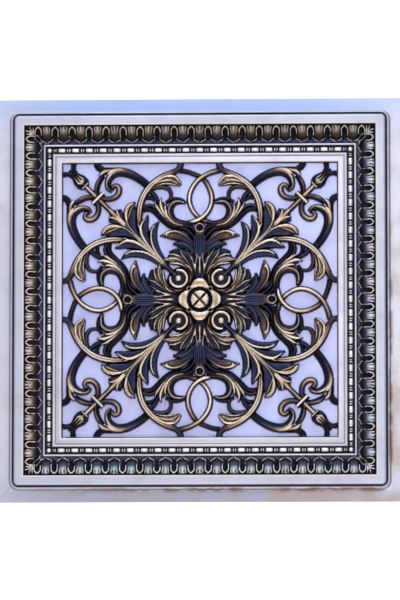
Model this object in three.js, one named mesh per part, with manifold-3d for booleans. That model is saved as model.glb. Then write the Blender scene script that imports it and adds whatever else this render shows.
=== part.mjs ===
// Square ceiling panel: one formed sheet with a flange, a raised frame with an egg-and-dart band and
// a bead row, and a field of scrolls and acanthus leaves on a flat ground.
// Millimetres. The relief is drawn facing +Z with the frame's top at +Y, and the finished mesh is
// turned so that the panel stands upright with its relief facing -Y.

import * as THREE from 'three';
import { mergeVertices } from 'three/addons/utils/BufferGeometryUtils.js';
import Module from 'manifold-3d';

// Overall size: the panel covers a nominal 24 inch ceiling bay.
const PANEL = 603;
const HALF = PANEL / 2;
const SHEET = 1.6;

// Half-widths of the frame's members, measured from the panel's centre.
const RIM_OUTER = 282.6;
const PLATEAU_OUTER = 275.4;
const PLATEAU_INNER = 262;
const BAND_OUTER = 260.2;
const BAND_INNER = 233.6;
const FILLET_INNER = 230;
const BEAD_LINE = 224.3;
const INNER_FILLET = 219.4;
const FLAT_OUTER = 213.8;
const FIELD = 205.6;
const RIM_CORNER_RADIUS = 13;

// Heights above the mounting plane.
const RIM_HEIGHT = 12;
const PLATEAU_HEIGHT = 16;
const BAND_HEIGHT = 12.4;
const BAND_FOOT = 7.2;
const FILLET_HEIGHT = 9.6;
const BEAD_FLOOR = 6.6;
const INNER_FILLET_HEIGHT = 9;
const FLAT_HEIGHT = 8.2;
const SCROLL_HEIGHT = 8.4;
const LEAF_HEIGHT = 9.4;

// Repeats along each side of the frame.
const EGG_PITCH = 25.4;
const EGGS_EACH_WAY = 9;
const BEAD_PITCH = 20.6;
const BEADS_EACH_WAY = 10;

const FOOT = SHEET * 0.4;

const wasm = await Module();
wasm.setup();

// A closed geometry as a solid that can be joined and cut.
function solid(geometry) {
  const bare = geometry.clone();
  bare.deleteAttribute('normal');
  bare.deleteAttribute('uv');
  const merged = mergeVertices(bare, 1e-4);
  const vertProperties = new Float32Array(merged.attributes.position.array);
  const triVerts = new Uint32Array(merged.index.array);
  return new wasm.Manifold(new wasm.Mesh({ numProp: 3, vertProperties, triVerts }));
}

function joined(solids) {
  return solids.reduce((whole, next) => whole.add(next));
}

// A square ring with mitred corners, from a closed profile of [half-width, height] points.
function squareRing(profile) {
  const points = profile.map(([r, z]) => new THREE.Vector2(r * Math.SQRT2, z));
  points.push(points[0].clone());
  const geometry = new THREE.LatheGeometry(points, 4, Math.PI / 4);
  geometry.rotateX(Math.PI / 2);
  return geometry;
}

// A square outline with round corners, centred on the panel.
function roundedSquare(half, radius) {
  const shape = new THREE.Shape();
  const c = half - radius;
  shape.absarc(c, c, radius, 0, Math.PI / 2);
  shape.absarc(-c, c, radius, Math.PI / 2, Math.PI);
  shape.absarc(-c, -c, radius, Math.PI, 1.5 * Math.PI);
  shape.absarc(c, -c, radius, 1.5 * Math.PI, 2 * Math.PI);
  return shape;
}

// Cross-sections of carved strands, as [across, up] points of half-width 1 and height 1, in clockwise
// order for somebody who looks along the strand.
const RIDGE = [[1, 0], [-1, 0], [0.15, 1]];
const BEAM = [[1, 0], [-1, 0], [-0.55, 1], [0.55, 1]];

// A strand along a smooth route. Each stop is [x, y, half-width, height above the mounting plane].
function strand(stops, section, steps) {
  const route = new THREE.CatmullRomCurve3(stops.map(([x, y]) => new THREE.Vector3(x, y, 0)));
  const sizes = new THREE.CatmullRomCurve3(stops.map(([, , w, h]) => new THREE.Vector3(w, h, 0)));
  const sides = section.length;
  const geometry = new THREE.CylinderGeometry(1, 1, 1, sides, steps);
  const position = geometry.attributes.position;
  const mid = section.reduce((sum, [, up]) => sum + up, 0) / sides;
  for (let i = 0; i < position.count; i += 1) {
    const along = THREE.MathUtils.clamp(position.getY(i) + 0.5, 0, 1);
    const at = route.getPoint(along);
    const way = route.getTangent(along).setZ(0).normalize();
    const size = sizes.getPoint(along);
    const halfWidth = Math.max(size.x, 0.25);
    const height = Math.max(size.y, SHEET + 0.4);
    const x = position.getX(i);
    const z = position.getZ(i);
    const onAxis = Math.hypot(x, z) < 0.5;
    const turn = (Math.atan2(x, z) / (2 * Math.PI) + 1) % 1;
    const corner = section[Math.round(turn * sides) % sides];
    const across = onAxis ? 0 : corner[0] * halfWidth;
    const up = FOOT + (onAxis ? mid : corner[1]) * (height - FOOT);
    position.setXYZ(i, at.x + way.y * across, at.y - way.x * across, up);
  }
  return geometry;
}

// The same shape on the other side of the vertical axis.
function mirrored(geometry) {
  const copy = geometry.clone();
  copy.scale(-1, 1, 1);
  const index = copy.index.array;
  for (let i = 0; i < index.length; i += 3) {
    [index[i], index[i + 1]] = [index[i + 1], index[i]];
  }
  return copy;
}

// The frame: one closed profile swept round the square, its outer corners rounded.
function frame() {
  const profile = [
    [FIELD - 4, 0],
    [HALF, 0],
    [HALF, SHEET],
    [RIM_OUTER, SHEET],
    [RIM_OUTER - 0.6, RIM_HEIGHT - 2],
    [RIM_OUTER - 1.8, RIM_HEIGHT],
    [RIM_OUTER - 3.8, RIM_HEIGHT],
    [RIM_OUTER - 5, RIM_HEIGHT - 2.5],
    [PLATEAU_OUTER, PLATEAU_HEIGHT - 0.6],
    [PLATEAU_OUTER - 1, PLATEAU_HEIGHT],
    [PLATEAU_INNER, PLATEAU_HEIGHT],
    [BAND_OUTER, BAND_HEIGHT],
    [BAND_INNER, BAND_FOOT],
    [BAND_INNER - 0.8, FILLET_HEIGHT],
    [FILLET_INNER, FILLET_HEIGHT],
    [FILLET_INNER - 0.8, BEAD_FLOOR],
    [INNER_FILLET + 0.5, BEAD_FLOOR],
    [INNER_FILLET, INNER_FILLET_HEIGHT],
    [INNER_FILLET - 3, INNER_FILLET_HEIGHT],
    [INNER_FILLET - 4.2, FLAT_HEIGHT - 1.2],
    [FLAT_OUTER, FLAT_HEIGHT],
    [FIELD + 0.8, FLAT_HEIGHT - 0.4],
    [FIELD, SHEET],
    [FIELD - 4, SHEET],
  ];
  const square = solid(squareRing(profile));
  const raisedLimit = new THREE.ExtrudeGeometry(roundedSquare(RIM_OUTER, RIM_CORNER_RADIUS), {
    depth: 2 * PLATEAU_HEIGHT,
    bevelEnabled: false,
    curveSegments: 4,
  });
  raisedLimit.translate(0, 0, SHEET);
  const flangeLimit = new THREE.BoxGeometry(2 * PANEL, 2 * PANEL, SHEET);
  flangeLimit.translate(0, 0, SHEET / 2);
  return square.intersect(solid(raisedLimit).add(solid(flangeLimit)));
}

// The hollow behind the raised frame, which a formed sheet has.
function frameHollow() {
  const wall = 2;
  const deep = squareRing([
    [PLATEAU_INNER + wall, -1],
    [RIM_OUTER - 2 * wall - 3, -1],
    [RIM_OUTER - 2 * wall - 3, RIM_HEIGHT - 4],
    [PLATEAU_OUTER - 2 * wall, PLATEAU_HEIGHT - wall - 1],
    [PLATEAU_INNER + wall, PLATEAU_HEIGHT - wall - 1],
  ]);
  const shallow = squareRing([
    [FIELD + 2 * wall, -1],
    [PLATEAU_INNER + wall + 1, -1],
    [PLATEAU_INNER - 2 * wall, BAND_HEIGHT - 2 * wall],
    [BAND_INNER, BEAD_FLOOR - wall],
    [FIELD + 2 * wall, BEAD_FLOOR - wall],
  ]);
  return solid(deep).add(solid(shallow));
}

// Eggs and darts along the top side of the band, as low hipped studs tilted with it.
function eggAndDart() {
  const middle = (BAND_OUTER + BAND_INNER) / 2 + 0.6;
  const height = (BAND_HEIGHT + BAND_FOOT) / 2;
  const slope = Math.atan2(BAND_HEIGHT - BAND_FOOT, BAND_OUTER - BAND_INNER);
  const eggShape = new THREE.OctahedronGeometry(1, 0);
  eggShape.rotateZ(Math.PI / 4);
  eggShape.scale(11.4, 16, 5);
  eggShape.rotateX(slope);
  const dartShape = new THREE.OctahedronGeometry(1, 0);
  dartShape.scale(3.6, 11.6, 4);
  dartShape.rotateX(slope);
  const row = [];
  for (let i = -EGGS_EACH_WAY; i <= EGGS_EACH_WAY; i += 1) {
    const egg = eggShape.clone();
    egg.translate(i * EGG_PITCH, middle, height);
    row.push(solid(egg));
  }
  for (let i = -EGGS_EACH_WAY - 1; i <= EGGS_EACH_WAY; i += 1) {
    const dart = dartShape.clone();
    dart.translate((i + 0.5) * EGG_PITCH, middle, height);
    row.push(solid(dart));
  }
  return row;
}

// Long beads along the top side of the bead line.
function beadRow() {
  const beads = [];
  const beadShape = new THREE.OctahedronGeometry(1, 0);
  beadShape.scale(6.4, 3.8, 4);
  for (let i = -BEADS_EACH_WAY; i <= BEADS_EACH_WAY; i += 1) {
    const bead = beadShape.clone();
    bead.translate(i * BEAD_PITCH, BEAD_LINE, BEAD_FLOOR);
    beads.push(solid(bead));
  }
  return beads;
}

// The two strands that cross above and below the oval on each axis. They aren't mirror images.
function ovalStrands() {
  const over = SCROLL_HEIGHT + 1.6;
  const under = SCROLL_HEIGHT - 2;
  const level = SCROLL_HEIGHT;
  const first = strand([[27, 193, 3.6, level], [3, 184.5, 4, over], [-10.5, 169, 4, level],
    [-14.6, 152, 4, level], [-7.5, 132.5, 3.8, under], [8, 119.5, 3.4, under]], RIDGE, 6);
  const second = strand([[-27, 193, 3.6, under], [-2, 186.5, 3.6, under], [13.8, 170.5, 3.8, level],
    [18.2, 153, 4, level], [10, 131, 4, over], [-14, 118, 3, level]], RIDGE, 6);
  return [first, second];
}

// The parts of the ornament that lie on one side of an axis, between it and the diagonal.
function scrollWork() {
  const top = SCROLL_HEIGHT;
  const leaf = LEAF_HEIGHT;
  return [
    // Great arc, from the foot of the acanthus up to its neck on the frame.
    strand([[90, 119, 4.4, top - 1], [89.5, 133, 4.8, leaf], [84.5, 152, 5.6, leaf],
      [70, 173.5, 6.4, leaf], [46, 188, 5, leaf], [30.5, 195.5, 4.4, top],
      [28.3, FIELD + 1, 5, top - 1]], RIDGE, 5),
    // Leaf at the head of the arc.
    strand([[62, 177, 4, leaf + 0.6], [46, 182.5, 6.4, leaf + 0.6], [36, 181, 6, leaf],
      [27, 174, 1.4, top - 2]], RIDGE, 3),
    strand([[62, 172, 3.6, leaf - 1], [41, 165, 3, top - 3]], RIDGE, 1),
    // Open scroll beside the oval, and its leaf.
    strand([[15, 118, 3.6, top - 1], [32, 117.5, 5.6, top], [45, 129, 8, leaf],
      [41, 147, 5, leaf], [20, 152.5, 2.4, top - 2]], RIDGE, 5),
    strand([[46, 122, 5, top], [56, 135, 6.4, leaf], [61, 156, 2, top]], RIDGE, 2),
    strand([[62, 131, 4, top - 2], [86, 141, 5, top - 2]], RIDGE, 1),
    // Stem from the arc to the corner curl.
    strand([[78, 174, 5.6, top - 2], [98, 185.6, 5.6, top - 1], [120, 190.3, 5.6, leaf],
      [137, 180, 5, leaf], [138.5, 167.5, 4, top], [127, 165.6, 2.6, top - 2]], RIDGE, 5),
    // Its leaf, which reaches the frame.
    strand([[139, 193.5, 3.4, top - 2], [151, 196, 4.4, top - 1], [155.2, FIELD + 1, 4.2, top - 1]],
      RIDGE, 2),
    // Strand and curl that the clip on the diagonal holds.
    strand([[151, 158, 3.4, top], [153.3, 171, 3.8, top], [146.5, 186, 3, top]], RIDGE, 2),
    strand([[148, 155, 3, top], [130, 151.5, 4, top], [118.6, 163, 4.6, top],
      [125, 172, 3.4, top], [129.5, 167, 2, top - 1]], RIDGE, 4),
    // Acanthus lobes on this side of the diagonal.
    strand([[56, 62, 3.4, leaf], [67, 82, 4.4, leaf], [69.6, 105, 5, top], [60, 118, 0.6, top - 3]],
      RIDGE, 3),
    strand([[66, 77, 3, leaf], [78, 96, 4.4, leaf], [81, 112, 4, leaf], [77.6, 128.5, 0.6, top - 3]],
      RIDGE, 3),
    strand([[74, 82, 3.4, leaf], [90, 115, 3, top]], RIDGE, 1),
    strand([[92, 98, 4, leaf], [107, 118, 5, leaf], [109, 135, 6, leaf], [96, 149, 1, top - 3]],
      RIDGE, 3),
    // Leaf on the axis: the upper lobes beside the eye.
    strand([[4, 78, 4, leaf], [18, 92, 6, leaf], [36, 98.5, 7, leaf], [58, 96, 0.8, top - 3]],
      RIDGE, 3),
    strand([[8, 76, 4.6, top], [39, 84, 3, top - 2]], RIDGE, 1),
    // The lower lobes, which lie against the volute.
    strand([[6, 48, 4, top - 1], [16, 63, 4.6, top], [29, 77, 1.4, top - 2]], RIDGE, 2),
    strand([[18, 49, 3.4, top], [35, 57.5, 5.4, leaf], [52, 60, 1.4, top]], RIDGE, 2),
    // Half of the volute round the foot of the stem.
    strand([[36, 43.5, 1.6, leaf - 1], [24, 43.4, 3.4, leaf], [17.8, 31, 3.2, leaf],
      [22.4, 22.4, 3.2, leaf]], RIDGE, 3),
  ];
}

// The parts that stand on the diagonal itself.
function diagonalWork() {
  const top = SCROLL_HEIGHT;
  const leaf = LEAF_HEIGHT;
  const ball = new THREE.CylinderGeometry(2.6, 5.6, leaf + 1, 6);
  ball.rotateX(Math.PI / 2);
  ball.translate(31.6, 31.6, (leaf + 1) / 2 + FOOT);
  return [
    ball,
    strand([[35, 35, 2.4, leaf - 1], [57, 57, 4.4, leaf], [96, 96, 9, leaf - 2],
      [131, 131, 9, top - 2]], RIDGE, 3),
    strand([[128, 128, 4, top - 2], [173, 173, 4, top - 1]], BEAM, 1),
    strand([[144.4, 160.6, 3.6, leaf + 1], [160.6, 144.4, 3.6, leaf + 1]], BEAM, 1),
    strand([[168.6, 176.2, 1.8, leaf], [176.2, 168.6, 1.8, leaf]], BEAM, 1),
    strand([[171, 171, 8, leaf], [181, 181, 12, leaf], [198, 198, 5.6, top - 2]], BEAM, 2),
    strand([[190, 192, 5, top - 2], [188.4, FIELD + 1, 3.4, top - 2]], BEAM, 1),
    strand([[192, 190, 5, top - 2], [FIELD + 1, 188.4, 3.4, top - 2]], BEAM, 1),
  ];
}

// The parts on each axis: the leaf's midrib and eye, and the flower's petal.
function axisWork() {
  const top = SCROLL_HEIGHT;
  const leaf = LEAF_HEIGHT;
  const eye = new THREE.CylinderGeometry(7, 9, leaf - 0.6, 8);
  eye.rotateX(Math.PI / 2);
  eye.translate(0, 107.4, (leaf - 0.6) / 2 + FOOT);
  const pupil = new THREE.CylinderGeometry(6, 4.4, leaf, 6);
  pupil.rotateX(Math.PI / 2);
  pupil.translate(0, 107.4, leaf / 2 + SHEET + 3.4);
  return {
    raised: [
      eye,
      strand([[0, 30, 9, top - 1], [0, 52, 6, top - 1], [0, 80, 6.6, top], [0, 100, 5.6, top - 1]],
        BEAM, 2),
      strand([[0, 10, 16, leaf + 1], [0, 22, 14.6, leaf + 1.6], [0, 29.5, 9, leaf + 0.6],
        [0, 33.4, 2.4, top - 1]], RIDGE, 2),
    ],
    sunk: [pupil],
  };
}

// Domed button at the middle of the flower.
function button() {
  const cap = new THREE.SphereGeometry(13.6, 12, 4);
  cap.rotateX(Math.PI / 2);
  cap.scale(1, 1, 0.5);
  cap.translate(0, 0, LEAF_HEIGHT - 2);
  return cap;
}

// A narrow groove round the button and two that cross it.
function buttonGrooves() {
  const ring = new THREE.LatheGeometry([[14.2, 8], [18.4, 8], [18.4, 20], [14.2, 20], [14.2, 8]]
    .map(([r, z]) => new THREE.Vector2(r, z)), 16);
  ring.rotateX(Math.PI / 2);
  const bars = [Math.PI / 4, -Math.PI / 4].map((turn) => {
    const bar = new THREE.BoxGeometry(1.6, 30, 4);
    bar.rotateZ(turn);
    bar.translate(0, 0, LEAF_HEIGHT + 6);
    return bar;
  });
  return [ring, ...bars];
}

// One sector is drawn for the top axis, and turned four times round the panel's centre.
function panel() {
  const axis = axisWork();
  const diagonal = diagonalWork();
  const half = scrollWork();
  const raisedSector = [
    ...ovalStrands(),
    ...half,
    ...half.map(mirrored),
    ...axis.raised,
    ...diagonal,
  ].map(solid);
  const sector = joined([...raisedSector, ...eggAndDart(), ...beadRow()]);
  const eyes = joined(axis.sunk.map(solid));
  const ground = new THREE.BoxGeometry(2 * FIELD - 4, 2 * FIELD - 4, SHEET);
  ground.translate(0, 0, SHEET / 2);
  let whole = frame().add(solid(ground));
  for (let quarter = 0; quarter < 4; quarter += 1) {
    whole = whole.add(sector.rotate([0, 0, 90 * quarter]));
  }
  for (let quarter = 0; quarter < 4; quarter += 1) {
    whole = whole.subtract(eyes.rotate([0, 0, 90 * quarter]));
  }
  whole = whole.add(solid(button()));
  return [...buttonGrooves().map(solid), frameHollow()].reduce((left, cut) => left.subtract(cut), whole);
}

function geometryOf(manifold) {
  const mesh = manifold.getMesh();
  const geometry = new THREE.BufferGeometry();
  geometry.setAttribute('position', new THREE.BufferAttribute(mesh.vertProperties, 3));
  geometry.setIndex(new THREE.BufferAttribute(mesh.triVerts, 1));
  return geometry;
}

const paint = new THREE.MeshStandardMaterial({ color: 0xb4b6c6, metalness: 0.55, roughness: 0.38 });
const ceilingPanel = new THREE.Mesh(geometryOf(panel()), paint);
ceilingPanel.name = 'ceiling_panel';
ceilingPanel.rotation.x = Math.PI / 2;

const object = new THREE.Group();
object.add(ceilingPanel);

export default object;
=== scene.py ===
import math

import bpy
import numpy as np
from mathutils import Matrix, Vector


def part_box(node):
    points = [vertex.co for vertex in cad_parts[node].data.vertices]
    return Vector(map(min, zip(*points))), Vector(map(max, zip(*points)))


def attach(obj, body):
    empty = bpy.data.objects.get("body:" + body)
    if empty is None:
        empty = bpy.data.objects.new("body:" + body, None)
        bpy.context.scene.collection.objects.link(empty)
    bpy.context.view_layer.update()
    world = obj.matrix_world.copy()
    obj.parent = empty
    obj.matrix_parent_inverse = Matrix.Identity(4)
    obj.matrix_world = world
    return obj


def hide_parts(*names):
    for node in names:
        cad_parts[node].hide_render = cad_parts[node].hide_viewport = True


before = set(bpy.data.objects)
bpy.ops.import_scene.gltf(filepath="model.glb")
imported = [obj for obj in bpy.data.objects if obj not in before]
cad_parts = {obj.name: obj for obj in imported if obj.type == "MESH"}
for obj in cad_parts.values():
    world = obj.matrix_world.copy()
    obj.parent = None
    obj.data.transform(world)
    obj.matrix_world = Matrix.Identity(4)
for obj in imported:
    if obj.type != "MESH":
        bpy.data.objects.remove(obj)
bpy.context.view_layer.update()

# Formed ceiling panel with antiqued silver paint. The relief is worked out as one height field in
# millimetres, drawn with x to the right and y up, for somebody who looks at the panel's face. It
# becomes one closed sheet, which stands upright in the frame with its face towards -Y.

MM = 0.001
NODE = "ceiling_panel"
LOW, HIGH = (np.array(corner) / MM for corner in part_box(NODE))
HALF = HIGH[0]
TOP = -LOW[1]

# Frame members, as half-widths from the panel's centre and heights above the mounting plane.
SHEET = 1.6
RIM_OUTER = 282.6
PLATEAU_OUTER = 275.4
PLATEAU_INNER = 262.0
BAND_OUTER = 260.2
BAND_INNER = 233.6
BEAD_OUTER = 229.2
BEAD_LINE = 224.3
BEAD_INNER = 219.6
FIELD = 205.6
RIM_CORNER_RADIUS = 13.0
BAND_HEIGHT = 11.6
BAND_FOOT = 6.6
BEAD_FLOOR = 6.4

EGG_PITCH = 25.4
LAST_LOOP = 9.5 * EGG_PITCH
BEAD_PITCH = 20.6
BEAD_LENGTH = 10.8
BEAD_RISE = 3.8

# Heights of the ornament's broad faces and of its high ridges, the width over which a strand's side
# rises, and what is added to each side of a strand.
SCROLL = 8.4
LEAF = 9.6
WALL = 3.0
SPREAD = 0.9
# Height of a ridge over the broad faces, and how low a valley may cut.
RIDGE = 1.2
VALLEY_FLOOR = 2.6
# Where the eye of the axis leaf and the volute lie, and the sizes of the volute and the flower's button.
EYE_LINE = 107.4
VOLUTE = (31.4, 31.6)
VOLUTE_RADIUS = 12.6
BUTTON_RADIUS = 14.6

GRID_STEP = 0.7
BACK_STRIDE = 4
TRIANGLES = 192000
THICKNESS = 1.2

# How straight ahead a triangle has to face to count as level, for its normals and for its paint.
LEVEL_NORMAL = 0.9985
LEVEL_PAINT = 0.998

# The picture's height in pixels, and what one pixel covers.
PHOTO_HEIGHT = 600
PIXEL = 1.488


def square_grid(half, step):
    count = 8 * round(half / step / 4) + 1
    line = np.linspace(-half, half, count)
    return np.meshgrid(line, line)


def smooth_step(value):
    t = np.clip(value, 0.0, 1.0)
    return t * t * (3.0 - 2.0 * t)


def square(x, y):
    """Distance from the centre along the nearer axis."""
    return np.maximum(np.abs(x), np.abs(y))


def smooth_route(stops, spacing):
    """Points evenly spaced on a smooth curve through the stops, which may carry more columns."""
    stops = np.array(stops, float)
    gaps = np.hypot(*np.diff(stops[:, :2], axis=0).T)
    knots = np.concatenate([[0.0], np.cumsum(gaps)])
    slopes = np.gradient(stops, knots, axis=0) if len(stops) > 2 else np.diff(stops, axis=0) / knots[1]
    if len(stops) == 2:
        slopes = np.repeat(slopes, 2, axis=0)
    at = np.linspace(0.0, knots[-1], max(2, int(knots[-1] / spacing) + 1))
    piece = np.clip(np.searchsorted(knots, at, side="right") - 1, 0, len(gaps) - 1)
    width = gaps[piece][:, None]
    t = ((at - knots[piece]) / gaps[piece])[:, None]
    a, b = stops[piece], stops[piece + 1]
    return ((2 * t**3 - 3 * t**2 + 1) * a + (t**3 - 2 * t**2 + t) * width * slopes[piece]
            + (3 * t**2 - 2 * t**3) * b + (t**3 - t**2) * width * slopes[piece + 1])


# Cross-sections of carved strands. Each takes s from -1 on the left edge to 1 on the right edge, for
# somebody who looks along the strand, and gives a height from 0 to 1.

def cord(s):
    return 1.0 - 0.34 * s * s


def twin(s):
    ridges = np.exp(-((np.abs(s) - 0.28) / 0.3) ** 2)
    return 0.84 + 0.16 * ridges


def blade(s):
    return 0.74 + 0.26 * np.exp(-(s / 0.45) ** 2)


def blade_left(s):
    return 0.68 + 0.32 * np.exp(-((s + 0.34) / 0.4) ** 2)


def blade_right(s):
    return 0.68 + 0.32 * np.exp(-((s - 0.34) / 0.4) ** 2)


def leaf(s):
    return 0.94 - 0.16 * np.abs(s) ** 3


def quarter_round(share):
    """A side that starts steeply at its foot and turns level at its top."""
    t = np.clip(share, 0.0, 1.0)
    return np.sqrt(1.0 - (1.0 - t) ** 2)


class Relief:
    """A height field on a regular grid, which carved shapes are raised on. Strands start at its base."""

    def __init__(self, x, y, base=0.0):
        self.x = x
        self.y = y
        self.base = base
        self.step = x[0, 1] - x[0, 0]
        self.height = np.zeros_like(x)
        self.shine = np.zeros_like(x)

    def overlay(self, height, shine):
        """Raises this relief to another one wherever that is higher."""
        self.shine = np.where(height > self.height, shine, self.shine)
        self.height = np.maximum(self.height, height)

    def window(self, cx, cy, reach):
        col = (cx - self.x[0, 0]) / self.step
        row = (cy - self.y[0, 0]) / self.step
        span = reach / self.step + 1
        r0, r1 = max(0, int(row - span)), min(self.x.shape[0], int(row + span) + 2)
        c0, c1 = max(0, int(col - span)), min(self.x.shape[1], int(col + span) + 2)
        return slice(r0, r1), slice(c0, c1)

    def strand(self, stops, section, rub_and_highlight=0.8, wall=WALL, spread=SPREAD):
        """Raises a strand. Each stop is x, y, half-width and height over the relief's base.

        A stop without a height lies RIDGE over the base. spread is added to each side. The share after
        the section says how far the strand's ridge is rubbed bright and given a painted highlight: one
        share, or several at even distances.
        """
        stops = [stop if len(stop) == 4 else (*stop, RIDGE) for stop in stops]
        spacing = self.step * 0.5
        route = smooth_route(stops, spacing)
        ways = np.gradient(route[:, :2], axis=0)
        ways /= np.hypot(ways[:, 0], ways[:, 1])[:, None]
        shares = np.atleast_1d(rub_and_highlight)
        rubs_and_highlights = np.interp(np.linspace(0, 1, len(route)), np.linspace(0, 1, len(shares)), shares)
        slab = self.step * 0.8
        for (px, py, half, top), (wx, wy), bright in zip(route, ways, rubs_and_highlights):
            half = max(half, 0.3) + spread
            rows, cols = self.window(px, py, half)
            dx = self.x[rows, cols] - px
            dy = self.y[rows, cols] - py
            along = dx * wx + dy * wy
            across = dx * wy - dy * wx
            inside = (np.abs(along) <= slab) & (np.abs(across) < half)
            if not inside.any():
                continue
            side = quarter_round((half - np.abs(across)) / min(wall, 0.85 * half))
            level = section(across / half) * side
            raised = np.where(inside, (self.base + top) * level, 0.0)
            target = self.height[rows, cols]
            higher = raised > target
            target[higher] = raised[higher]
            self.shine[rows, cols][higher] = bright * smooth_step((level[higher] - 0.88) / 0.12)

    def dome(self, cx, cy, radius, top, rub_and_highlight=0.8, power=2.0):
        """Raises a round boss."""
        rows, cols = self.window(cx, cy, radius)
        r = np.hypot(self.x[rows, cols] - cx, self.y[rows, cols] - cy) / radius
        edge = quarter_round((1.0 - r) * radius / min(WALL, radius))
        raised = np.where(r < 1.0, top * edge * (1.0 - 0.3 * np.minimum(r, 1.0) ** power), 0.0)
        target = self.height[rows, cols]
        higher = raised > target
        target[higher] = raised[higher]
        self.shine[rows, cols][higher] = rub_and_highlight * smooth_step((raised[higher] / top - 0.7) / 0.25)

    def dish(self, cx, cy, radius, depth):
        """Sinks a round hollow."""
        rows, cols = self.window(cx, cy, radius)
        r = np.hypot(self.x[rows, cols] - cx, self.y[rows, cols] - cy) / radius
        self.height[rows, cols] -= depth * smooth_step((1.0 - r) * 2.0)
        self.shine[rows, cols] *= smooth_step((r - 0.9) * 8.0)

    def groove(self, stops, depth):
        """Sinks a narrow valley. Each stop is x, y, half-width and share of the depth."""
        route = smooth_route(stops, self.step * 0.5)
        sunk = np.zeros_like(self.height)
        for px, py, half, share in route:
            half = max(half, 0.3)
            rows, cols = self.window(px, py, half)
            r = np.hypot(self.x[rows, cols] - px, self.y[rows, cols] - py) / half
            target = sunk[rows, cols]
            np.maximum(target, depth * share * smooth_step(1.0 - r), out=target)
        self.height = np.maximum(self.height - sunk, np.minimum(self.height, VALLEY_FLOOR))
        self.shine *= 1.0 - sunk / depth


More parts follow.
